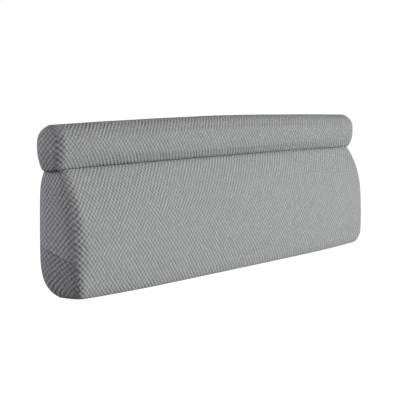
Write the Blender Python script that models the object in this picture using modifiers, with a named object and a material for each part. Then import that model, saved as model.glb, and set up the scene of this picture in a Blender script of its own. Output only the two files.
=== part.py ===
"""A long backrest pillow: a filled wedge, a filled head roll on top of it, and a base panel under it.

Metres, +Z up. X runs along the pillow, its front faces -Y, and the origin is on the floor under its middle.
In the tables, depths run forward from the plane of the back, and heights run up from a piece's underside.
"""
import math
from collections import namedtuple

import bmesh
import bpy
from mathutils import Vector

# Driving dimensions
LENGTH = 1.834
BODY_LENGTH = 1.800
DEPTH = 0.157
HEIGHT = 0.500
CREASE_HEIGHT = 0.3695
CLOTH_THICKNESS = 0.002
FIT_GAP = 0.0003
RECESS_WALL = 0.0005
SEAM_GAP = 0.0012
ROLL_HEIGHT = HEIGHT - CREASE_HEIGHT - FIT_GAP

# How far the ends bulge, how far the long sides draw in from the middle to the ends, how far the foot lifts off
# the floor at the ends, how far the crease and the roll's top drop there, and how steeply the crease falls from
# the front of the neck to the back
END_CROWN = 0.005
SIDE_CROWN = 0.003
CORNER_LIFT = 0.008
CREASE_DROP = 0.0035
TOP_DROP = 0.012
CREASE_TILT = 0.080

# The shares of the half length past which the foot lifts, the heel gets rounder and the crease gets shallower,
# how sharply the foot's line bends up, and how much of the crease's depth is lost at the ends
LIFT_START = 0.40
CORNER_START = 0.58
SHALLOW_START = 0.75
LIFT_BEND = 2.2
SHALLOW = 0.45

# A rounded edge: how far it reaches up or down the side, and how deep it cuts in
Edge = namedtuple("Edge", "reach depth")
HEEL = Edge(reach=0.098, depth=0.028)
END_HEEL = Edge(reach=0.114, depth=0.062)
TOE = Edge(reach=0.050, depth=0.022)
NECK = Edge(reach=0.018, depth=0.010)
NAPE = Edge(reach=0.050, depth=0.005)
BODY_END_LOW = Edge(reach=0.062, depth=0.029)
BODY_END_HIGH = Edge(reach=0.050, depth=0.006)
ROLL_TOP = Edge(reach=0.048, depth=0.040)
ROLL_UNDER = Edge(reach=0.060, depth=0.033)
ROLL_BACK_UNDER = Edge(reach=0.056, depth=0.012)
ROLL_END_TOP = Edge(reach=0.034, depth=0.022)
ROLL_END_UNDER = Edge(reach=0.062, depth=0.009)
BODY_CORNER = 0.027
ROLL_CORNER = 0.026

# The side of each filled piece, without its rounded edges
Side = namedtuple("Side", "name height back front")
BODY_SIDE = (
    Side("foot", 0.000, 0.002, 0.155),
    Side("belly", 0.130, 0.000, 0.157),
    Side("waist", 0.228, 0.000, 0.151),
    Side("slope", 0.300, 0.0015, 0.133),
    Side("crease", CREASE_HEIGHT, 0.008, 0.101),
)
ROLL_SIDE = (
    Side("underside", 0.000, 0.011, 0.108),
    Side("middle", 0.066, 0.008, 0.112),
    Side("top", ROLL_HEIGHT, 0.011, 0.109),
)

# The rows of faces up each side. The seam row falls towards the front, so each row has two heights.
Row = namedtuple("Row", "name at_back at_front")
BODY_ROWS = (
    Row("foot", 0.000, 0.000),
    Row("sole edge", 0.006, 0.004),
    Row("heel", 0.027, 0.014),
    Row("ankle", 0.060, 0.030),
    Row("calf", 0.098, 0.052),
    Row("seam", 0.163, 0.099),
    Row("belly", 0.195, 0.150),
    Row("waist", 0.232, 0.205),
    Row("slope", 0.270, 0.255),
    Row("chest", 0.308, 0.300),
    Row("shoulder", 0.338, 0.335),
    Row("neck", 0.353, 0.352),
    Row("neck edge", 0.3615, 0.3615),
    Row("crease", CREASE_HEIGHT, CREASE_HEIGHT),
)
SEAM_ROW = [row.name for row in BODY_ROWS].index("seam")

# Lines of faces along the pillow, as distances from an end, and across its depth, from -1 in front to 1 behind
END_DISTANCES = (0.000, 0.011, 0.027, 0.050, 0.085, 0.135, 0.205, 0.300, 0.420, 0.570, 0.735, 0.900)
DEPTH_LINES = (-1.0, -0.8, -0.65, -0.35, 0.0, 0.35, 0.65, 0.8, 1.0)
ROLL_TURNS = 5

CLOTH_GREY = (0.33, 0.335, 0.33, 1.0)
BASE_GREY = (0.30, 0.305, 0.30, 1.0)
CLOTH_ROUGHNESS = 0.9


def smooth_column(rows, height, column):
    """Reads a column of a side table at a height, on a smooth curve through its rows."""
    heights = [row.height for row in rows]
    values = [getattr(row, column) for row in rows]
    last = len(rows) - 1
    first = max(index for index in range(last) if index == 0 or heights[index] <= height)

    def slope(index):
        before, after = max(index - 1, 0), min(index + 1, last)
        return (values[after] - values[before]) / (heights[after] - heights[before])

    span = heights[first + 1] - heights[first]
    part = (height - heights[first]) / span
    return (values[first] * (1 + 2 * part) * (1 - part) ** 2
            + values[first + 1] * part ** 2 * (3 - 2 * part)
            + span * part * (1 - part) * (slope(first) * (1 - part) - slope(first + 1) * part))


def turned_in(distance, edge):
    """How far a rounded edge cuts in at a distance from the face that it turns into."""
    if distance >= edge.reach:
        return 0.0
    return edge.depth * (1 - math.sqrt(1 - (1 - distance / edge.reach) ** 2))


def pinched_in(distance, edge):
    """The same for an edge that is drawn in to a seam and meets it at a slant."""
    return edge.depth * max(1 - distance / edge.reach, 0.0) ** 2


def smooth_step(value):
    value = min(max(value, 0.0), 1.0)
    return value * value * (3 - 2 * value)


def near_end(share, start):
    """Stays 0 over the middle of the pillow, up to the start, and rises from there to 1 at the ends."""
    return smooth_step((abs(share) - start) / (1 - start))


def shallower(share):
    """How deep the crease is cut at a share of the half length: 1 in the middle, and less at the ends."""
    return 1 - SHALLOW * near_end(share, SHALLOW_START)


def body_slice(height, share):
    """Back, front and half length of the wedge at a height and a share of the half length."""
    from_top = CREASE_HEIGHT - height
    rounder = near_end(share, CORNER_START)
    heel = turned_in(height, HEEL) * (1 - rounder) + turned_in(height, END_HEEL) * rounder
    drawn_in = SIDE_CROWN * share ** 2
    back = smooth_column(BODY_SIDE, height, "back") + heel + pinched_in(from_top, NAPE) + drawn_in
    toe_and_neck = turned_in(height, TOE) + turned_in(from_top, NECK) * shallower(share)
    front = smooth_column(BODY_SIDE, height, "front") - toe_and_neck - drawn_in
    end = turned_in(height, BODY_END_LOW) + pinched_in(from_top, BODY_END_HIGH)
    return back, front, BODY_LENGTH / 2 - END_CROWN - end


def roll_slice(height, share):
    """Back, front and half length of the head roll at a height above its underside and a share of the length."""
    from_top = ROLL_HEIGHT - height
    over = turned_in(from_top, ROLL_TOP) + SIDE_CROWN * share ** 2
    back = smooth_column(ROLL_SIDE, height, "back") + turned_in(height, ROLL_BACK_UNDER) + over
    front = smooth_column(ROLL_SIDE, height, "front") - turned_in(height, ROLL_UNDER) * shallower(share) - over
    end = pinched_in(height, ROLL_END_UNDER) + turned_in(from_top, ROLL_END_TOP)
    return back, front, LENGTH / 2 - END_CROWN - end


def roll_rows():
    """Level rows for the roll, at even turns of its rounded edges."""
    turns = [1 - math.cos(math.pi / 2 * step / ROLL_TURNS) for step in range(ROLL_TURNS + 1)]
    low = [ROLL_UNDER.reach * turn for turn in turns]
    high = [ROLL_HEIGHT - ROLL_TOP.reach * turn for turn in reversed(turns)]
    return [Row("roll", height, height) for height in low + high]


def along_lines():
    """Places along the pillow, from -1 at one end to 1 at the other."""
    half = [1 - 2 * distance / LENGTH for distance in END_DISTANCES]
    return [-place for place in half] + half[-2::-1]


def cut_block(counts):
    """A cube from -1 to 1, cut evenly into the given numbers of slices along X, Y and Z."""
    block = bmesh.new()
    bmesh.ops.create_cube(block, size=2.0)
    for axis, count in enumerate(counts):
        normal = Vector((axis == 0, axis == 1, axis == 2))
        for step in range(1, count):
            everything = block.verts[:] + block.edges[:] + block.faces[:]
            bmesh.ops.bisect_plane(block, geom=everything, plane_co=normal * (2 * step / count - 1),
                                   plane_no=normal)
    return block


def rounded_corner(x, y, half_x, half_y, radius):
    """Moves a point of a rectangle on to the rectangle with round corners."""
    over_x = max(abs(x) - (half_x - radius), 0.0)
    over_y = max(abs(y) - (half_y - radius), 0.0)
    if over_x == 0.0 or over_y == 0.0:
        return x, y
    shrink = 1 - max(over_x, over_y) / math.hypot(over_x, over_y)
    return x - math.copysign(over_x * shrink, x), y - math.copysign(over_y * shrink, y)


def soft_block(rows, slice_at, corner):
    """A closed block whose rows follow a piece's slices. Also returns the row that each face starts from."""
    along = along_lines()
    block = cut_block((len(along) - 1, len(DEPTH_LINES) - 1, len(rows) - 1))
    ends = {face for face in block.faces if abs(face.normal.x) > 0.5}
    undersides = {face for face in block.faces if face.normal.z < -0.5}
    first_row = {face: round(min(vert.co.z for vert in face.verts) / 2 * (len(rows) - 1)
                             + (len(rows) - 1) / 2) for face in ends}
    for vert in block.verts:
        places = [round((value + 1) / 2 * (count - 1))
                  for value, count in zip(vert.co, (len(along), len(DEPTH_LINES), len(rows)))]
        share, across, row = along[places[0]], DEPTH_LINES[places[1]], rows[places[2]]
        height = row.at_front + (row.at_back - row.at_front) * (across + 1) / 2
        back, front, half_length = slice_at(height, share)
        half_depth = (front - back) / 2
        radius = min(corner, half_depth)
        x, y = rounded_corner(share * half_length, across * half_depth, half_length, half_depth, radius)
        if abs(share) == 1.0:
            bulge = 1 - (height / rows[-1].at_back * 2 - 1) ** 2
            x += math.copysign(END_CROWN * bulge * (1 - across ** 2), x)
        vert.co = (x, DEPTH / 2 - (front + back) / 2 + y, height)
    return block, undersides, first_row


def crease_fall(point):
    """How far the crease surface lies below its highest line, above a point of the plan."""
    neck_front = DEPTH / 2 - BODY_SIDE[-1].front
    return CREASE_DROP * (2 * point.x / LENGTH) ** 2 + CREASE_TILT * (point.y - neck_front)


def bend_wedge(block):
    """Lifts the wedge's foot off the floor towards both ends, and lets its top follow the crease surface."""
    for vert in block.verts:
        up = vert.co.z / CREASE_HEIGHT
        past_start = max((2 * abs(vert.co.x) / LENGTH - LIFT_START) / (1 - LIFT_START), 0.0)
        lift = CORNER_LIFT * past_start ** LIFT_BEND
        vert.co.z += lift * (1 - up) - crease_fall(vert.co) * up


def bend_roll(block):
    """Lets the roll's underside follow the crease surface, and its top line fall towards both ends."""
    for vert in block.verts:
        up = vert.co.z / ROLL_HEIGHT
        drop = TOP_DROP * (2 * abs(vert.co.x) / LENGTH) ** 1.6
        vert.co.z -= crease_fall(vert.co) * (1 - up) + drop * up


def wedge_block():
    """The wedge, and the faces that the base panel covers: the foot, and both ends below the seam row."""
    block, undersides, first_row = soft_block(BODY_ROWS, body_slice, BODY_CORNER)
    bend_wedge(block)
    covered = list(undersides) + [face for face, row in first_row.items() if row < SEAM_ROW]
    covered = bmesh.ops.triangulate(block, faces=covered)["faces"]
    return block, covered


def make_material(name, colour):
    material = bpy.data.materials.new(name)
    material.use_nodes = True
    shader = material.node_tree.nodes["Principled BSDF"]
    shader.inputs["Base Color"].default_value = colour
    shader.inputs["Roughness"].default_value = CLOTH_ROUGHNESS
    shader.inputs["Metallic"].default_value = 0.0
    return material


def make_object(name, block, material, parent, height=0.0):
    mesh = bpy.data.meshes.new(name)
    bmesh.ops.recalc_face_normals(block, faces=block.faces)
    block.to_mesh(mesh)
    block.free()
    mesh.shade_smooth()
    mesh.materials.append(material)
    piece = bpy.data.objects.new(name, mesh)
    piece.location.z = height
    piece.parent = parent
    parent.users_collection[0].objects.link(piece)
    return piece


def make_body(material, parent):
    """The wedge, with a shallow recess that the base panel lies in."""
    block, covered = wedge_block()
    bmesh.ops.inset_region(block, faces=covered, thickness=RECESS_WALL, depth=-(CLOTH_THICKNESS + FIT_GAP))
    return make_object("backrest_body", block, material, parent)


def make_base_panel(material, parent):
    """The cloth under the foot, turned up at both ends to the seam row."""
    block, covered = wedge_block()
    kept = set(covered)
    bmesh.ops.delete(block, geom=[face for face in block.faces if face not in kept], context="FACES")
    rim = bmesh.ops.inset_region(block, faces=block.faces[:], thickness=RECESS_WALL + SEAM_GAP,
                                 use_boundary=True)
    bmesh.ops.delete(block, geom=rim["faces"], context="FACES")
    panel = make_object("base_panel", block, material, parent)
    wall = panel.modifiers.new("cloth thickness", "SOLIDIFY")
    wall.thickness = CLOTH_THICKNESS
    wall.offset = -1.0
    return panel


def make_roll(material, parent):
    block, _, _ = soft_block(roll_rows(), roll_slice, ROLL_CORNER)
    bend_roll(block)
    return make_object("head_roll", block, material, parent, height=CREASE_HEIGHT + FIT_GAP)


def main():
    for old in list(bpy.data.objects):
        bpy.data.objects.remove(old, do_unlink=True)
    pieces = bpy.data.collections.new("backrest_pillow")
    bpy.context.scene.collection.children.link(pieces)
    stand = bpy.data.objects.new("pillow_origin", None)
    pieces.objects.link(stand)
    cloth = make_material("grey_cloth", CLOTH_GREY)
    make_body(cloth, stand)
    make_roll(cloth, stand)
    make_base_panel(make_material("base_cloth", BASE_GREY), stand)


main()
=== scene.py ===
# %% [markdown]
# # A long backrest pillow in woven grey cloth
# The pillow is one long wedge of filling under a round head roll, all covered in a coarse woven cloth.
# A carved block would give its outline, but a cushion looks soft because air and filling push its cover
# outwards between the seams. So each filled piece starts as a finely divided block, takes its section
# from a short table, is puffed up as cloth, and only then gets its weave.

# %% Load the frame
import bisect
import math
from collections import namedtuple

import bmesh
import bpy
from mathutils import Matrix, Vector, noise


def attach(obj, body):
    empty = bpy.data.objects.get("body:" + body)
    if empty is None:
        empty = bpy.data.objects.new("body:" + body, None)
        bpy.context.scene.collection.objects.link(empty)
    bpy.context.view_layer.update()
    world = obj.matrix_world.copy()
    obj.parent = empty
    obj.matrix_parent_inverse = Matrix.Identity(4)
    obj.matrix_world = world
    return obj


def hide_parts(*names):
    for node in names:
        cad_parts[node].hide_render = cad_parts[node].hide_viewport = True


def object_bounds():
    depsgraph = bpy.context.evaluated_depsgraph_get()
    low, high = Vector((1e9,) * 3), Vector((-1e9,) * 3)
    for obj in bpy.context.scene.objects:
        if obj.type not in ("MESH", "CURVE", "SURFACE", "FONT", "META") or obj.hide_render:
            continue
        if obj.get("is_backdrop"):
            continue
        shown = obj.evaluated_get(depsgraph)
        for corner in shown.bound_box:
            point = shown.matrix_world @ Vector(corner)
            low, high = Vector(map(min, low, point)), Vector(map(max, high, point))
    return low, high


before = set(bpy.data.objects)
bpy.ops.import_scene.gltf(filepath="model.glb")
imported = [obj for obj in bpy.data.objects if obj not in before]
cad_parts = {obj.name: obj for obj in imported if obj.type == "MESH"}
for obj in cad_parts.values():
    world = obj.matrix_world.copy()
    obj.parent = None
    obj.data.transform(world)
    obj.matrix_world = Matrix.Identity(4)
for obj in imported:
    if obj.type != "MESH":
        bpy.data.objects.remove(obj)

cad_low, cad_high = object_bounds()
size = cad_high - cad_low
print(f"the pillow is {size.x:.3f} m long, {size.y:.3f} m deep and {size.z:.3f} m high")

# %% [markdown]
# ## The camera
# The photo was taken with a long lens from low down, past the pillow's left end. A camera's place can be
# guessed by eye, but two facts fix it here: the long edges meet at one point far to the right, and the
# weave looks equally wide on the end and on the front. The first gives the lens and the second the heading.

# %% Set up the camera
FRAME_PIXELS = 400
FOCAL_PIXELS = 1404
SENSOR_WIDTH = 36.0
CAMERA_PLACE = Vector((-3.942, -2.366, 0.575))
HEADING = math.radians(58.0)
LOOKING_DOWN = math.radians(4.386)
CAMERA_ROLL = math.radians(-0.269)

lens = bpy.data.cameras.new("camera")
lens.sensor_width = SENSOR_WIDTH
lens.lens = SENSOR_WIDTH * FOCAL_PIXELS / FRAME_PIXELS
lens.clip_end = 100.0
camera = bpy.data.objects.new("camera", lens)
turn = (Matrix.Rotation(-HEADING, 4, "Z") @ Matrix.Rotation(math.pi / 2 - LOOKING_DOWN, 4, "X")
        @ Matrix.Rotation(CAMERA_ROLL, 4, "Z"))
camera.matrix_world = Matrix.Translation(CAMERA_PLACE) @ turn
bpy.context.scene.collection.objects.link(camera)
bpy.context.scene.camera = camera
print(f"lens {lens.lens:.0f} mm, {CAMERA_PLACE.length:.2f} m from the pillow's middle")

# %% [markdown]
# ## The studio
# The photo has a plain white ground with no horizon and hardly a shadow. A floor lit until it burns out would
# also throw too much light up under the roll. So the floor is a plain grey that glows nearly white to the
# camera alone, which hides the horizon and keeps a faint contact shadow. Much light comes from around and
# little from above. One large panel in front makes the long front lighter than the end, and a small one,
# a little violet, grazes the near end from behind.

# %% Helpers for node trees
def add_node(tree, kind, **values):
    """A new node with some of its inputs set by name, where an underscore stands for a space."""
    node = tree.nodes.new(kind)
    for name, value in values.items():
        node.inputs[name.replace("_", " ")].default_value = value
    return node


def math_node(tree, operation, first, second=None, third=None):
    """The result of a Math node whose inputs are sockets or plain numbers."""
    node = tree.nodes.new("ShaderNodeMath")
    node.operation = operation
    for socket, value in zip(node.inputs, (first, second, third)):
        if isinstance(value, (int, float)):
            socket.default_value = value
        elif value is not None:
            tree.links.new(value, socket)
    return node.outputs["Value"]


# %% Build the floor and the lights
WHITE = (1.0, 1.0, 1.0, 1.0)
FLOOR_SIZE = 80.0
FLOOR_COLOUR = (0.50, 0.50, 0.50, 1.0)
FLOOR_ROUGHNESS = 0.9
FLOOR_GLOW = 0.94
WORLD_LOW = 0.70
WORLD_HIGH = 0.05
HIGH_FROM = 0.6


def make_floor_material():
    """Grey, with a glow that only the camera sees."""
    material = bpy.data.materials.new("pale_floor")
    material.use_nodes = True
    tree = material.node_tree
    shader = tree.nodes["Principled BSDF"]
    shader.inputs["Base Color"].default_value = FLOOR_COLOUR
    shader.inputs["Roughness"].default_value = FLOOR_ROUGHNESS
    shader.inputs["Emission Color"].default_value = WHITE
    path = tree.nodes.new("ShaderNodeLightPath")
    glow = math_node(tree, "MULTIPLY", path.outputs["Is Camera Ray"], FLOOR_GLOW)
    tree.links.new(glow, shader.inputs["Emission Strength"])
    return material


def make_floor():
    """A square that belongs to the studio and not to the part."""
    block = bmesh.new()
    bmesh.ops.create_grid(block, x_segments=1, y_segments=1, size=FLOOR_SIZE / 2)
    mesh = bpy.data.meshes.new("floor")
    block.to_mesh(mesh)
    block.free()
    mesh.materials.append(make_floor_material())
    floor = bpy.data.objects.new("floor", mesh)
    bpy.context.scene.collection.objects.link(floor)
    floor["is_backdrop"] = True


def make_panel_light(name, place, target, extent, power, colour=(1.0, 1.0, 1.0)):
    """A rectangle of light at a place, turned towards its target."""
    light = bpy.data.lights.new(name, "AREA")
    light.shape = "RECTANGLE"
    light.size, light.size_y = extent
    light.energy = power
    light.color = colour
    holder = bpy.data.objects.new(name, light)
    away = Vector(place) - Vector(target)
    holder.matrix_world = Matrix.Translation(place) @ away.to_track_quat("Z", "Y").to_matrix().to_4x4()
    bpy.context.scene.collection.objects.link(holder)


def make_surround():
    """White to the camera. To the pillow it is a soft light that weakens from the horizon upwards."""
    world = bpy.data.worlds.new("surround")
    bpy.context.scene.world = world
    world.use_nodes = True
    tree = world.node_tree
    background = tree.nodes["Background"]
    background.inputs["Color"].default_value = WHITE
    direction = tree.nodes.new("ShaderNodeTexCoord")
    parts = tree.nodes.new("ShaderNodeSeparateXYZ")
    tree.links.new(direction.outputs["Generated"], parts.inputs["Vector"])
    overhead = add_node(tree, "ShaderNodeMapRange", From_Min=0.0, From_Max=HIGH_FROM,
                        To_Min=WORLD_LOW, To_Max=WORLD_HIGH)
    tree.links.new(parts.outputs["Z"], overhead.inputs["Value"])
    path = tree.nodes.new("ShaderNodeLightPath")
    seen = math_node(tree, "MAXIMUM", overhead.outputs["Result"], path.outputs["Is Camera Ray"])
    tree.links.new(seen, background.inputs["Strength"])


bpy.context.scene.view_settings.view_transform = "Standard"
make_floor()
make_surround()
make_panel_light("front_panel", place=(2.3, -6.0, 1.1), target=(0.1, 0.0, 0.25), extent=(3.0, 2.0),
                 power=396)
make_panel_light("end_panel", place=(-2.9, 2.0, 1.7), target=(-0.9, 0.0, 0.36), extent=(1.0, 0.9),
                 power=48, colour=(1.0, 0.96, 1.07))

# %% [markdown]
# ## A finely divided block
# Every filled piece has the same build: six sides, many rows up and many cells along. One way is to loft
# sections by hand, but cutting a cube with planes gives clean rows of quads with no seams to close. The
# cuts are made in a space from -1 to 1, where each vertex still knows its place along, across and up.
# Each coarse cell is then divided again, and the side of the cube that a face came from is kept with it.

# %% Cut the block
FRONT, BACK, LEFT, RIGHT, TOP, UNDER = range(6)


def side_of(face):
    """The side of the cube that a face lies on, from its normal."""
    normal = face.normal
    if abs(normal.x) > 0.5:
        return RIGHT if normal.x > 0 else LEFT
    if abs(normal.y) > 0.5:
        return BACK if normal.y > 0 else FRONT
    return TOP if normal.z > 0 else UNDER


def cut_block(counts, finer):
    """A cube from -1 to 1 with counts cells along X, Y and Z, each divided again finer times."""
    block = bmesh.new()
    bmesh.ops.create_cube(block, size=2.0)
    for axis, count in enumerate(counts):
        normal = Vector((axis == 0, axis == 1, axis == 2))
        for step in range(1, count):
            everything = block.verts[:] + block.edges[:] + block.faces[:]
            bmesh.ops.bisect_plane(block, geom=everything, plane_co=normal * (2 * step / count - 1),
                                   plane_no=normal)
    bmesh.ops.subdivide_edges(block, edges=block.edges[:], cuts=finer - 1, use_grid_fill=True)
    block.normal_update()
    side = block.faces.layers.int.new("side")
    for face in block.faces:
        face[side] = side_of(face)
    return block


# %% [markdown]
# ## Reading the tables
# A cushion's section is a few named heights with a depth behind and in front. Straight lines between them
# would show as creases, so the values between two rows follow a smooth curve. The rounded edges are
# quarter ellipses that are taken off the section, which keeps the table short. An edge that a seam draws in
# is a parabola instead, and meets the seam at a slant.

# %% Helpers that read a section
Edge = namedtuple("Edge", "reach depth")
Side = namedtuple("Side", "name height back front")
Row = namedtuple("Row", "name at_back at_front")


def smooth_column(rows, height, column):
    """Reads a column of a side table at a height, on a smooth curve through its rows."""
    heights = [row.height for row in rows]
    values = [getattr(row, column) for row in rows]
    last = len(rows) - 1
    first = max(index for index in range(last) if index == 0 or heights[index] <= height)

    def slope(index):
        before, after = max(index - 1, 0), min(index + 1, last)
        return (values[after] - values[before]) / (heights[after] - heights[before])

    span = heights[first + 1] - heights[first]
    part = (height - heights[first]) / span
    return (values[first] * (1 + 2 * part) * (1 - part) ** 2
            + values[first + 1] * part ** 2 * (3 - 2 * part)
            + span * part * (1 - part) * (slope(first) * (1 - part) - slope(first + 1) * part))


def turned_in(distance, edge):
    """How far a rounded edge cuts in at a distance from the face that it turns into."""
    if distance >= edge.reach:
        return 0.0
    return edge.depth * (1 - math.sqrt(1 - (1 - max(distance, 0.0) / edge.reach) ** 2))


def pinched_in(distance, edge):
    """The same for an edge that is drawn in to a seam and meets it at a slant."""
    return edge.depth * max(1 - distance / edge.reach, 0.0) ** 2


def smooth_step(value):
    """Rises from 0 to 1 as the value does, with a flat start and a flat end."""
    value = min(max(value, 0.0), 1.0)
    return value * value * (3 - 2 * value)


def between(values, place):
    """A value at a place from -1 to 1 along an evenly numbered list."""
    spot = (place + 1) / 2 * (len(values) - 1)
    index = min(int(spot), len(values) - 2)
    return values[index] + (values[index + 1] - values[index]) * (spot - index)


def rounded_corner(x, y, half_x, half_y, radius):
    """Moves a point of a rectangle on to the rectangle with round corners."""
    over_x = max(abs(x) - (half_x - radius), 0.0)
    over_y = max(abs(y) - (half_y - radius), 0.0)
    if over_x == 0.0 or over_y == 0.0:
        return x, y
    shrink = 1 - max(over_x, over_y) / math.hypot(over_x, over_y)
    return x - math.copysign(over_x * shrink, x), y - math.copysign(over_y * shrink, y)


# %% [markdown]
# ## The wedge
# The wedge leans back under the head: it is thickest a hand above the floor and narrows to the crease.
# Its heel is rounder at the ends than in the middle, where a flat foot keeps it upright. The rows of
# faces fall towards the front where the base panel's seam runs, so that the seam follows an edge loop. Along
# the pillow the faces are shortest near the ends, where the cover turns the corner.

# %% Shape the wedge
LENGTH = 1.834
BODY_LENGTH = 1.800
DEPTH = 0.157
CREASE_HEIGHT = 0.3695
END_CROWN = 0.005
CROWN_START = 0.9
SIDE_CROWN = 0.003
CORNER_LIFT = 0.008
CREASE_DROP = 0.0035
CREASE_TILT = 0.080
LIFT_START = 0.40
LIFT_BEND = 2.2
SHALLOW_START = 0.75
SHALLOW = 0.45
CORNER_START = 0.58
HEEL = Edge(reach=0.098, depth=0.028)
END_HEEL = Edge(reach=0.114, depth=0.062)
TOE = Edge(reach=0.050, depth=0.022)
NECK = Edge(reach=0.018, depth=0.010)
NAPE = Edge(reach=0.050, depth=0.005)
BODY_END_LOW = Edge(reach=0.062, depth=0.029)
BODY_END_HIGH = Edge(reach=0.050, depth=0.006)
BODY_CORNER = 0.027
BODY_SIDE = (
    Side("foot", 0.000, 0.002, 0.155),
    Side("belly", 0.130, 0.000, 0.157),
    Side("waist", 0.228, 0.000, 0.151),
    Side("slope", 0.300, 0.0015, 0.133),
    Side("crease", CREASE_HEIGHT, 0.008, 0.101),
)
BODY_ROWS = (
    Row("foot", 0.000, 0.000),
    Row("sole edge", 0.006, 0.004),
    Row("heel", 0.027, 0.014),
    Row("ankle", 0.060, 0.030),
    Row("calf", 0.098, 0.052),
    Row("seam", 0.163, 0.095),
    Row("belly", 0.195, 0.150),
    Row("waist", 0.232, 0.205),
    Row("slope", 0.270, 0.255),
    Row("chest", 0.308, 0.300),
    Row("shoulder", 0.338, 0.335),
    Row("neck", 0.353, 0.352),
    Row("neck edge", 0.3615, 0.3615),
    Row("crease", CREASE_HEIGHT, CREASE_HEIGHT),
)
SEAM_ROW = [row.name for row in BODY_ROWS].index("seam")
END_DISTANCES = (0.000, 0.011, 0.027, 0.050, 0.085, 0.135, 0.190, 0.250, 0.310, 0.370, 0.430, 0.490, 0.550,
                 0.610, 0.670, 0.730, 0.790, 0.855, LENGTH / 2)
DEPTH_LINES = (-1.0, -0.8, -0.65, -0.35, 0.0, 0.35, 0.65, 0.8, 1.0)
FINER = 3

half_lines = [1 - 2 * distance / LENGTH for distance in END_DISTANCES]
LENGTH_LINES = [-place for place in half_lines] + half_lines[-2::-1]


def near_end(share, start):
    """Stays 0 over the middle of the pillow, up to the start, and rises from there to 1 at the ends."""
    return smooth_step((abs(share) - start) / (1 - start))


def shallower(share):
    """How deep the crease is cut at a share of the half length: 1 in the middle, and less at the ends."""
    return 1 - SHALLOW * near_end(share, SHALLOW_START)


def body_slice(height, share):
    """Back, front and half length of the wedge at a height and a share of the half length."""
    from_top = CREASE_HEIGHT - height
    rounder = near_end(share, CORNER_START)
    heel = turned_in(height, HEEL) * (1 - rounder) + turned_in(height, END_HEEL) * rounder
    drawn_in = SIDE_CROWN * share ** 2
    back = smooth_column(BODY_SIDE, height, "back") + heel + pinched_in(from_top, NAPE) + drawn_in
    toe_and_neck = turned_in(height, TOE) + turned_in(from_top, NECK) * shallower(share)
    front = smooth_column(BODY_SIDE, height, "front") - toe_and_neck - drawn_in
    end = turned_in(height, BODY_END_LOW) + pinched_in(from_top, BODY_END_HIGH)
    return back, front, BODY_LENGTH / 2 - END_CROWN - end


def crease_fall(point):
    """How far the crease surface lies below its highest line, above a point of the plan."""
    neck_front = DEPTH / 2 - BODY_SIDE[-1].front
    return CREASE_DROP * (2 * point.x / LENGTH) ** 2 + CREASE_TILT * (point.y - neck_front)


def bend_wedge(point):
    """Lifts the wedge's foot off the floor towards both ends, and lets its top follow the crease surface."""
    up = point.z / CREASE_HEIGHT
    share = 2 * abs(point.x) / LENGTH
    lift = CORNER_LIFT * max((share - LIFT_START) / (1 - LIFT_START), 0.0) ** LIFT_BEND
    point.z += lift * (1 - up) - crease_fall(point) * up


def placed(place, rows, slice_at, corner):
    """The point of a piece that a place in the block stands for, before anything bows."""
    share, across = between(LENGTH_LINES, place.x), between(DEPTH_LINES, place.y)
    at_back = between([row.at_back for row in rows], place.z)
    at_front = between([row.at_front for row in rows], place.z)
    height = at_front + (at_back - at_front) * (across + 1) / 2
    back, front, half_length = slice_at(height, share)
    half_depth = (front - back) / 2
    x, y = rounded_corner(share * half_length, across * half_depth, half_length, half_depth,
                          min(corner, half_depth))
    bulge = 1 - (height / rows[-1].at_back * 2 - 1) ** 2
    x += math.copysign(END_CROWN * bulge * (1 - across ** 2) * near_end(share, CROWN_START), x)
    return Vector((x, DEPTH / 2 - (front + back) / 2 + y, height))


# %% [markdown]
# ## Cloth coordinates
# The weave has to follow the cover round the corners, as it does in the photo, so each piece gets a UV map
# in metres of cloth. U is measured along the front, round the end and along the back. V is measured up the
# front, and the end has the front's V at the same height, so no row of the weave breaks at the corner. The
# two halves mirror each other, and meet again in the middle of the back.

# %% Measure the cloth along and up a piece
ARC_STEPS = 240
ROUNDING = 0.01


def running_length(points):
    """How far along a line of points each one lies."""
    lengths = [0.0]
    for start, end in zip(points, points[1:]):
        lengths.append(lengths[-1] + (end - start).length)
    return lengths


def arc_at_height(heights, arc, height):
    """The length up the front to a height, from the two points of the front on either side of it."""
    after = min(max(bisect.bisect_right(heights, height), 1), len(heights) - 1)
    part = (height - heights[after - 1]) / (heights[after] - heights[after - 1])
    return arc[after - 1] + (arc[after] - arc[after - 1]) * part


def measure_cloth(point_at):
    """A function from a side, a half, a place and a height to the UV there, in metres of cloth."""
    steps = [step / ARC_STEPS for step in range(ARC_STEPS + 1)]
    front = [point_at(Vector((0, -1, 2 * step - 1))) for step in steps]
    heights, up = [point.z for point in front], running_length(front)
    along = running_length([point_at(Vector((step, -1, 0))) for step in steps])
    across = running_length([point_at(Vector((1, 2 * step - 1, 0))) for step in steps])
    over = running_length([point_at(Vector((0, 2 * step - 1, 1))) for step in steps])

    def cloth_at(side, sign, place, height):
        run = between(along, 2 * abs(place.x) - 1)
        if side == TOP:
            return sign * run, up[-1] + between(over, place.y)
        if side == UNDER:
            return sign * run, -between(over, place.y)
        rise = arc_at_height(heights, up, height)
        if side == FRONT:
            return sign * run, rise
        if side == BACK:
            return sign * (2 * along[-1] + across[-1] - run), rise
        return sign * (along[-1] + between(across, place.y)), rise

    return cloth_at


def row_of(face, rows):
    """Which row a face of the block lies in, from its lowest point. A little more makes up for rounding."""
    lowest = min(vert.co.z for vert in face.verts)
    return int((lowest + 1) / 2 * (len(rows) - 1) + ROUNDING)


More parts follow.
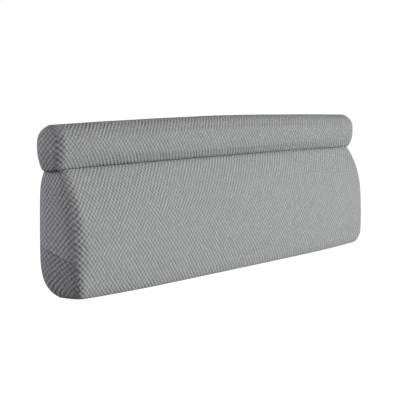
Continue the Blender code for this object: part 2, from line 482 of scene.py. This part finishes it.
def shaped_block(rows, slice_at, corner, finer):
    """A finely divided block with a piece's section, its row numbers, and a UV map called weave."""
    block = cut_block((len(LENGTH_LINES) - 1, len(DEPTH_LINES) - 1, len(rows) - 1), finer)

    def point_at(place):
        return placed(place, rows, slice_at, corner)

    points = {vert: point_at(vert.co) for vert in block.verts}
    cloth_at = measure_cloth(point_at)
    side, row = block.faces.layers.int["side"], block.faces.layers.int.new("row")
    weave = block.loops.layers.uv.new("weave")
    for face in block.faces:
        face[row] = row_of(face, rows)
        sign = -1 if face.calc_center_median().x < 0 else 1
        for loop in face.loops:
            loop[weave].uv = cloth_at(face[side], sign, loop.vert.co, points[loop.vert].z)
    for vert, point in points.items():
        vert.co = point
    return block


def sharpen_rim(block, rim_side):
    """Keeps the edge around one side sharp when the piece is subdivided, as a sewn edge is."""
    side, crease = block.faces.layers.int["side"], block.edges.layers.float.new("crease_edge")
    for edge in block.edges:
        if sum(face[side] == rim_side for face in edge.link_faces) == 1:
            edge[crease] = 1.0
            edge.smooth = False


wedge = shaped_block(BODY_ROWS, body_slice, BODY_CORNER, FINER)
sharpen_rim(wedge, TOP)
for vert in wedge.verts:
    bend_wedge(vert.co)
print(f"wedge: {len(wedge.faces)} faces")

# %% [markdown]
# ## The head roll
# The roll is a bolster, a little longer than the wedge. Its section is a rounded square that is flattened
# where it sits on the wedge, and its top line falls a little towards both ends.

# %% Shape the roll
TOP_HEIGHT = 0.500
ROLL_GAP = 0.0003
ROLL_LOW = CREASE_HEIGHT + ROLL_GAP
ROLL_HEIGHT = TOP_HEIGHT - ROLL_LOW
ROLL_TOP = Edge(reach=0.048, depth=0.040)
ROLL_UNDER = Edge(reach=0.060, depth=0.033)
ROLL_BACK_UNDER = Edge(reach=0.056, depth=0.012)
ROLL_END_TOP = Edge(reach=0.034, depth=0.022)
ROLL_END_UNDER = Edge(reach=0.062, depth=0.009)
ROLL_CORNER = 0.026
ROLL_TURNS = 5
TOP_DROP = 0.012
TOP_BEND = 1.6
ROLL_SIDE = (
    Side("underside", 0.000, 0.011, 0.108),
    Side("middle", 0.066, 0.008, 0.112),
    Side("top", ROLL_HEIGHT, 0.011, 0.109),
)


def roll_slice(height, share):
    """Back, front and half length of the roll at a height above its underside and a share of the length."""
    from_top = ROLL_HEIGHT - height
    over = turned_in(from_top, ROLL_TOP) + SIDE_CROWN * share ** 2
    under = turned_in(height, ROLL_UNDER) * shallower(share)
    back = smooth_column(ROLL_SIDE, height, "back") + turned_in(height, ROLL_BACK_UNDER) + over
    front = smooth_column(ROLL_SIDE, height, "front") - under - over
    end = pinched_in(height, ROLL_END_UNDER) + turned_in(from_top, ROLL_END_TOP)
    return back, front, LENGTH / 2 - END_CROWN - end


def roll_rows():
    """Level rows for the roll, at even turns of its rounded edges."""
    turns = [1 - math.cos(math.pi / 2 * step / ROLL_TURNS) for step in range(ROLL_TURNS + 1)]
    low = [ROLL_UNDER.reach * turn for turn in turns]
    high = [ROLL_HEIGHT - ROLL_TOP.reach * turn for turn in reversed(turns)]
    return [Row("roll", height, height) for height in low + high]


def bend_roll(point):
    """Lets the roll's underside follow the crease surface, and its top line fall towards both ends."""
    up = point.z / ROLL_HEIGHT
    drop = TOP_DROP * (2 * abs(point.x) / LENGTH) ** TOP_BEND
    point.z -= crease_fall(point) * (1 - up) + drop * up


bolster = shaped_block(roll_rows(), roll_slice, ROLL_CORNER, FINER)
sharpen_rim(bolster, UNDER)
for vert in bolster.verts:
    bend_roll(vert.co)
    vert.co.z += ROLL_LOW
print(f"roll: {len(bolster.faces)} faces")

# %% [markdown]
# ## Filling the covers
# The filling pushes a cover out, most where no seam or floor holds it, and a taut cover draws its round edges
# in. Blender's Cloth does just that when it has pressure inside and no gravity. The crease and the foot are
# held. The solids give the true size, so no point may move further than a few millimetres.

# %% Puff up the two pieces
MOST_SWELL = 0.0035
MOST_SINK = 0.0005
MOST_SLIDE = 0.002
PRESSURE = 4.0
FRAMES = 20
HOLD_REACH = 0.030


def to_piece(name, block):
    """Turns a bmesh into a smooth-shaded object at the origin."""
    mesh = bpy.data.meshes.new(name)
    block.to_mesh(mesh)
    block.free()
    mesh.shade_smooth()
    piece = bpy.data.objects.new(name, mesh)
    bpy.context.scene.collection.objects.link(piece)
    return piece


def hold(piece, heldness):
    """Puts a function of a point, from 0 free to 1 held, into the vertex group held."""
    group = piece.vertex_groups.new(name="held")
    for vert in piece.data.vertices:
        weight = heldness(vert.co)
        if weight > 0:
            group.add([vert.index], weight, "REPLACE")
    return group


def evaluated_mesh(piece):
    """A copy of the mesh that a piece's modifiers make."""
    graph = bpy.context.evaluated_depsgraph_get()
    return bpy.data.meshes.new_from_object(piece.evaluated_get(graph), preserve_all_data_layers=True,
                                           depsgraph=graph)


def puff(piece, heldness):
    """Blows the cover up as cloth where it isn't held, and limits how far each point moves."""
    group = hold(piece, heldness)
    cloth = piece.modifiers.new("puff", "CLOTH")
    cloth.settings.use_pressure = True
    cloth.settings.uniform_pressure_force = PRESSURE
    cloth.settings.effector_weights.gravity = 0.0
    cloth.settings.vertex_group_mass = group.name
    for number in range(1, FRAMES + 1):
        bpy.context.scene.frame_set(number)
    puffed = evaluated_mesh(piece)
    piece.modifiers.remove(cloth)
    bpy.context.scene.frame_set(1)
    normals = [vert.normal.copy() for vert in piece.data.vertices]
    swells = []
    for vert, swollen, normal in zip(piece.data.vertices, puffed.vertices, normals):
        move = swollen.co - vert.co
        swell = move.dot(normal)
        slide = move - normal * swell
        swells.append(swell)
        if slide.length > MOST_SLIDE:
            slide *= MOST_SLIDE / slide.length
        vert.co += normal * min(max(swell, -MOST_SINK), MOST_SWELL) + slide
    bpy.data.meshes.remove(puffed)
    swells.sort()
    print(f"{piece.name}: swelled {1000 * swells[len(swells) // 2]:.1f} mm at the median, from "
          f"{1000 * swells[0]:.1f} to {1000 * swells[-1]:.1f} mm before the limits")


def closeness(distance, reach):
    """Falls from 1 at no distance to 0 at the reach."""
    return 1 - smooth_step(distance / reach)


def body_to_crease(point):
    """How far a point of the body lies below the crease."""
    return CREASE_HEIGHT - crease_fall(point) - point.z


def roll_to_crease(point):
    """How far a point of the roll lies above the crease."""
    return point.z - ROLL_LOW + crease_fall(point)


def body_held(point):
    """Held along the crease and on the foot."""
    return max(closeness(body_to_crease(point), HOLD_REACH), closeness(point.z, HOLD_REACH))


def roll_held(point):
    """Held on the underside."""
    return closeness(roll_to_crease(point), HOLD_REACH)


body = to_piece("dressed_body", wedge)
roll = to_piece("dressed_roll", bolster)
puff(body, body_held)
puff(roll, roll_held)

# %% [markdown]
# ## Smoothing and unevenness
# One subdivision rounds the facets off. Filled covers are never quite even, so a slow noise then moves the
# surface in and out by less than a millimetre, and small gathers run into the crease where it is sewn.

# %% Smooth the pieces and make them a little uneven
UNEVEN = 0.0010
UNEVEN_SCALE = 4.5
GATHER = 0.0007
GATHER_SCALE_ALONG = 28.0
GATHER_SCALE_UP = 6.0
GATHER_REACH = 0.045


def subdivide(piece):
    """Applies one level of subdivision."""
    smoother = piece.modifiers.new("smoother", "SUBSURF")
    smoother.levels = smoother.render_levels = 1
    finer_mesh = evaluated_mesh(piece)
    piece.modifiers.remove(smoother)
    old = piece.data
    piece.data = finer_mesh
    bpy.data.meshes.remove(old)
    finer_mesh.name = piece.name


def make_uneven(piece, heldness, crease_distance, seed):
    """Moves each point along its normal, by slow noise and by gathers that fade away from the crease."""
    normals = [vert.normal.copy() for vert in piece.data.vertices]
    shift = Vector((seed, 2 * seed, 3 * seed))
    for vert, normal in zip(piece.data.vertices, normals):
        freedom = 1 - heldness(vert.co)
        slow = noise.noise(vert.co * UNEVEN_SCALE + shift) * UNEVEN
        near = closeness(crease_distance(vert.co), GATHER_REACH)
        gather_place = Vector((vert.co.x * GATHER_SCALE_ALONG, vert.co.z * GATHER_SCALE_UP, seed))
        vert.co += normal * (slow + noise.noise(gather_place) * GATHER * near) * freedom


for piece, heldness, crease_distance, seed in ((body, body_held, body_to_crease, 3.1),
                                               (roll, roll_held, roll_to_crease, 8.7)):
    subdivide(piece)
    make_uneven(piece, heldness, crease_distance, seed)
    print(f"{piece.name}: {len(piece.data.polygons)} faces")

# %% [markdown]
# ## The base panel
# The same cloth, cut on another grain, covers the foot and turns up at both ends to a slanting seam. It lies
# in a shallow recess, like an inset sole, so it can be lifted out and made in another cloth. Both come from
# the same faces of the wedge: pushed in for the recess, cut out and thickened for the panel. An inset would
# leave spikes where the rim turns up at the corners, so the rim slides along the mesh's own edges instead.

# %% Cut the recess and make the panel
CLOTH_THICKNESS = 0.002
FIT_GAP = 0.0003
RECESS_WALL = 0.0003
SEAM_GAP = 0.0005
STEEP = math.radians(40.0)


def covered_faces(block):
    """The foot, and both ends below the seam row."""
    side, row = block.faces.layers.int["side"], block.faces.layers.int["row"]
    return [face for face in block.faces
            if face[side] == UNDER or (face[side] in (LEFT, RIGHT) and face[row] < SEAM_ROW)]


def sharpen_steep_edges(block):
    """Stops smooth shading at the edges where the cloth ends."""
    for edge in block.edges:
        if edge.is_manifold and edge.calc_face_angle() > STEEP:
            edge.smooth = False


def drawn_back(faces, distance):
    """Places for the rim of a group of faces, slid inwards along its own edges to stay on the surface."""
    faces = set(faces)
    rim = {edge for face in faces for edge in face.edges
           if sum(near in faces for near in edge.link_faces) == 1}
    places = {}
    for vert in {vert for edge in rim for vert in edge.verts}:
        inner = [edge.other_vert(vert).co for edge in vert.link_edges
                 if edge not in rim and any(near in faces for near in edge.link_faces)]
        if inner:
            places[vert] = vert.co + (inner[0] - vert.co).normalized() * distance
        else:
            corner = next(face for face in vert.link_faces if face in faces)
            places[vert] = vert.co + (corner.calc_center_median() - vert.co).normalized() * distance
    return places


def cut_panel(source, name):
    """Copies the covered faces, draws them back from the seam, and gives them the cloth's thickness."""
    block = bmesh.new()
    block.from_mesh(source.data)
    kept = set(covered_faces(block))
    for vert, place in drawn_back(kept, RECESS_WALL + SEAM_GAP).items():
        vert.co = place
    bmesh.ops.delete(block, geom=[face for face in block.faces if face not in kept], context="FACES")
    area = sum(face.calc_area() for face in block.faces)
    panel = to_piece(name, block)
    wall = panel.modifiers.new("cloth thickness", "SOLIDIFY")
    wall.thickness = CLOTH_THICKNESS
    wall.offset = -1.0
    panel.data = evaluated_mesh(panel)
    panel.modifiers.remove(wall)
    return panel, area


def cut_recess(piece):
    """Pushes the covered faces in by the cloth's thickness. Each point finds its floor by its number."""
    block = bmesh.new()
    block.from_mesh(piece.data)
    covered = covered_faces(block)
    slid = drawn_back(covered, RECESS_WALL)
    number = block.verts.layers.int.new("number")
    floor = []
    for index, vert in enumerate(block.verts):
        vert[number] = index
        floor.append(slid.get(vert, vert.co) - vert.normal * (CLOTH_THICKNESS + FIT_GAP))
    pushed = bmesh.ops.extrude_face_region(block, geom=covered)
    for vert in pushed["geom"]:
        if isinstance(vert, bmesh.types.BMVert):
            vert.co = floor[vert[number]]
    bmesh.ops.delete(block, geom=covered, context="FACES")
    block.verts.layers.int.remove(number)
    sharpen_steep_edges(block)
    block.to_mesh(piece.data)
    block.free()


panel, panel_area = cut_panel(body, "dressed_base_panel")
cut_recess(body)
print(f"base panel: {panel_area:.3f} square metres of cloth")

# %% [markdown]
# ## The weave
# The cloth is a coarse basket weave: soft floats of yarn stand out on a diagonal lattice, with small dark
# gaps between them. A blend of two cosines along the diagonals has just such peaks and hollows. It could be
# an image, but a formula stays sharp at any distance and needs no file. The lattice wanders a little, once
# slowly and once quickly, and here and there one diagonal is stronger than the other. Each float also gets a
# shade of its own, as heathered yarn has, and fine strands that run across some floats and up others.

# %% Build the weave group
Wander = namedtuple("Wander", "scale amount")

CELL_WIDTH = 0.0173
CELL_HEIGHT = 0.0177
STRANDS = 5.0
SLOW_WANDER = Wander(scale=16.0, amount=0.0024)
QUICK_WANDER = Wander(scale=60.0, amount=0.0050)
LEAN_SCALE = 18.0
LEAST_LEAN, MOST_LEAN = 0.36, 0.64
HEATHER_SCALE = 45.0
HEATHER_DETAIL = 5.0
HEATHER_ROUGHNESS = 0.65
FLUFF_SCALE = 1300.0
FLUFF_HEIGHT = 0.07
STRAND_HEIGHT = 0.06


def new_group(name, inputs, outputs):
    """An empty shader group with named sockets, and its input and output nodes."""
    group = bpy.data.node_groups.new(name, "ShaderNodeTree")
    for label, kind in inputs:
        group.interface.new_socket(label, in_out="INPUT", socket_type=kind)
    for label, kind in outputs:
        group.interface.new_socket(label, in_out="OUTPUT", socket_type=kind)
    return group, group.nodes.new("NodeGroupInput"), group.nodes.new("NodeGroupOutput")


def wandering(tree, cloth, wander):
    """Moves a cloth place a little to and fro, because no weave is quite straight."""
    drift = add_node(tree, "ShaderNodeTexNoise", Scale=wander.scale, Detail=1.0)
    tree.links.new(cloth, drift.inputs["Vector"])
    centred = tree.nodes.new("ShaderNodeVectorMath")
    centred.operation = "SUBTRACT"
    centred.inputs[1].default_value = (0.5, 0.5, 0.5)
    tree.links.new(drift.outputs["Color"], centred.inputs[0])
    moved = tree.nodes.new("ShaderNodeVectorMath")
    moved.operation = "MULTIPLY_ADD"
    moved.inputs[1].default_value = (wander.amount, wander.amount, 0.0)
    tree.links.new(centred.outputs["Vector"], moved.inputs[0])
    tree.links.new(cloth, moved.inputs[2])
    return moved.outputs["Vector"]


def wave(tree, value, periods):
    """A cosine that runs from 0 to 1, with the given number of periods in each unit of the value."""
    cosine = math_node(tree, "COSINE", math_node(tree, "MULTIPLY", value, math.tau * periods))
    return math_node(tree, "MULTIPLY_ADD", cosine, 0.5, 0.5)


def blend(tree, factor, first, second):
    """The first value where the factor is 0, and the second where it is 1."""
    mix = tree.nodes.new("ShaderNodeMix")
    for label, value in (("Factor", factor), ("A", first), ("B", second)):
        tree.links.new(value, mix.inputs[label])
    return mix.outputs["Result"]


def make_weave_group():
    """The weave at a place on the cloth, in metres: its floats, shades, strands, relief and heather."""
    tree, given, result = new_group(
        "basket_weave", [("Cloth", "NodeSocketVector")],
        [(label, "NodeSocketFloat") for label in ("Float", "Shade", "Strand", "Height", "Heather")])
    cloth = given.outputs["Cloth"]
    parts = tree.nodes.new("ShaderNodeSeparateXYZ")
    drifted = wandering(tree, cloth, SLOW_WANDER)
    tree.links.new(wandering(tree, drifted, QUICK_WANDER), parts.inputs["Vector"])
    across = math_node(tree, "DIVIDE", parts.outputs["X"], CELL_WIDTH)
    up = math_node(tree, "DIVIDE", parts.outputs["Y"], CELL_HEIGHT)
    rising = math_node(tree, "ADD", across, up)
    falling = math_node(tree, "SUBTRACT", across, up)
    lean = add_node(tree, "ShaderNodeTexNoise", Scale=LEAN_SCALE, Detail=1.0)
    tree.links.new(cloth, lean.inputs["Vector"])
    leaning = add_node(tree, "ShaderNodeMapRange", From_Min=LEAST_LEAN, From_Max=MOST_LEAN,
                       To_Min=LEAST_LEAN, To_Max=MOST_LEAN)
    tree.links.new(lean.outputs["Fac"], leaning.inputs["Value"])
    level = blend(tree, leaning.outputs["Result"], wave(tree, rising, 1.0), wave(tree, falling, 1.0))

    nearest_rising, nearest_falling = math_node(tree, "ROUND", rising), math_node(tree, "ROUND", falling)
    nearest = tree.nodes.new("ShaderNodeCombineXYZ")
    tree.links.new(nearest_rising, nearest.inputs["X"])
    tree.links.new(nearest_falling, nearest.inputs["Y"])
    shade = tree.nodes.new("ShaderNodeTexWhiteNoise")
    shade.noise_dimensions = "2D"
    tree.links.new(nearest.outputs["Vector"], shade.inputs["Vector"])

    count = math_node(tree, "ADD", nearest_rising, nearest_falling)
    turned = math_node(tree, "PINGPONG", math_node(tree, "MULTIPLY", count, 0.5), 1.0)
    strands = blend(tree, turned, wave(tree, across, STRANDS), wave(tree, up, STRANDS))
    fluff = add_node(tree, "ShaderNodeTexNoise", Scale=FLUFF_SCALE, Detail=3.0)
    tree.links.new(cloth, fluff.inputs["Vector"])
    fine = math_node(tree, "MULTIPLY_ADD", strands, STRAND_HEIGHT,
                     math_node(tree, "MULTIPLY", fluff.outputs["Fac"], FLUFF_HEIGHT))
    heather = add_node(tree, "ShaderNodeTexNoise", Scale=HEATHER_SCALE, Detail=HEATHER_DETAIL,
                       Roughness=HEATHER_ROUGHNESS)
    tree.links.new(cloth, heather.inputs["Vector"])

    tree.links.new(level, result.inputs["Float"])
    tree.links.new(shade.outputs["Value"], result.inputs["Shade"])
    tree.links.new(strands, result.inputs["Strand"])
    tree.links.new(math_node(tree, "ADD", level, fine), result.inputs["Height"])
    tree.links.new(heather.outputs["Fac"], result.inputs["Heather"])
    return tree


weave_group = make_weave_group()

# %% [markdown]
# ## The covers
# All three covers are the same kind of grey cloth. The yarn is a little green and the gaps are a little
# violet, as in the photo. The roll's cloth is painted a shade darker than the body's, and the body's a
# little lighter: painted shade and painted light that make one cloth into a shaded and a lit copy. The base
# panel is cut on another grain, so its lattice is turned, and it is the darkest of the three.

# %% Make the cloth materials
# The body's cloth is painted a little lighter than the roll's: painted light, the lit copy of one cloth.
LIGHT_YARN = (0.428, 0.450, 0.421, 1.0)
DARK_GAP = (0.236, 0.228, 0.254, 1.0)
# The roll's yarn and gaps are the body's cloth painted darker: painted shade, the shaded copy of one cloth.
ROLL_YARN_PAINTED_SHADE = (0.390, 0.408, 0.383, 1.0)
ROLL_GAP_PAINTED_SHADE = (0.216, 0.209, 0.233, 1.0)
BASE_LIGHT = (0.350, 0.359, 0.346, 1.0)
BASE_DARK = (0.171, 0.167, 0.184, 1.0)
CLOTH_ROUGHNESS = 0.92
SHEEN_WEIGHT = 0.12
SHEEN_ROUGHNESS = 0.5
SHADE_SPREAD = 0.30
STRAND_SPREAD = 0.20
HEATHER_SPREAD = 0.36
WEAVE_HEIGHT = 0.0034
BASE_GRAIN = math.radians(11.0)


def spread_around(tree, value, centre, spread):
    """Turns a value that runs from 0 to 1 into one that is spread evenly around a centre."""
    return math_node(tree, "MULTIPLY_ADD", value, spread, centre - spread / 2)


def cloth_material(name, grain, light, dark):
    """Woven cloth from its dark gaps to its light yarn, with the lattice turned by the grain."""
    material = bpy.data.materials.new(name)
    material.use_nodes = True
    tree = material.node_tree
    shader = tree.nodes["Principled BSDF"]
    shader.inputs["Roughness"].default_value = CLOTH_ROUGHNESS
    shader.inputs["Sheen Weight"].default_value = SHEEN_WEIGHT
    shader.inputs["Sheen Roughness"].default_value = SHEEN_ROUGHNESS
    uv = tree.nodes.new("ShaderNodeUVMap")
    uv.uv_map = "weave"
    mapping = tree.nodes.new("ShaderNodeMapping")
    mapping.inputs["Rotation"].default_value = (0.0, 0.0, grain)
    tree.links.new(uv.outputs["UV"], mapping.inputs["Vector"])
    weave = tree.nodes.new("ShaderNodeGroup")
    weave.node_tree = weave_group
    tree.links.new(mapping.outputs["Vector"], weave.inputs["Cloth"])

    shaded = math_node(tree, "MULTIPLY", spread_around(tree, weave.outputs["Shade"], 1.0, SHADE_SPREAD),
                       spread_around(tree, weave.outputs["Strand"], 1.0, STRAND_SPREAD))
    yarn = math_node(tree, "MULTIPLY", weave.outputs["Float"], shaded)
    heathered = spread_around(tree, weave.outputs["Heather"], 0.0, HEATHER_SPREAD)
    colour = tree.nodes.new("ShaderNodeMix")
    colour.data_type = "RGBA"
    colour.inputs["A"].default_value = dark
    colour.inputs["B"].default_value = light
    tree.links.new(math_node(tree, "ADD", yarn, heathered), colour.inputs["Factor"])
    tree.links.new(colour.outputs["Result"], shader.inputs["Base Color"])
    bump = add_node(tree, "ShaderNodeBump", Strength=1.0, Distance=WEAVE_HEIGHT)
    tree.links.new(weave.outputs["Height"], bump.inputs["Height"])
    tree.links.new(bump.outputs["Normal"], shader.inputs["Normal"])
    return material


body.data.materials.append(cloth_material("cover_cloth", 0.0, LIGHT_YARN, DARK_GAP))
# The roll wears the body's cloth painted a shade darker: painted shade.
roll.data.materials.append(cloth_material("roll_cloth", 0.0, ROLL_YARN_PAINTED_SHADE, ROLL_GAP_PAINTED_SHADE))
panel.data.materials.append(cloth_material("base_cloth", BASE_GRAIN, BASE_LIGHT, BASE_DARK))

# %% [markdown]
# ## Handing the pieces over
# Each dressed piece takes the place of its plain solid and rides on the same body. The two
# padded pieces are filled tight, and the base panel is a sheet that is stretched over the foot.

for piece, solid, slot in ((body, "backrest_body", "cover_cloth"), (roll, "head_roll", "roll_cloth"),
                           (panel, "base_panel", "base_cloth")):
    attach(piece, "root")
    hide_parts(solid)

# %% Compare the dressed part's size with the solids'
new_low, new_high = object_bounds()
grown = [1000 * max(low - new, new_top - top)
         for low, new, top, new_top in zip(cad_low, new_low, cad_high, new_high)]
print("grown by", [round(value, 1) for value in grown], "mm along X, Y and Z")
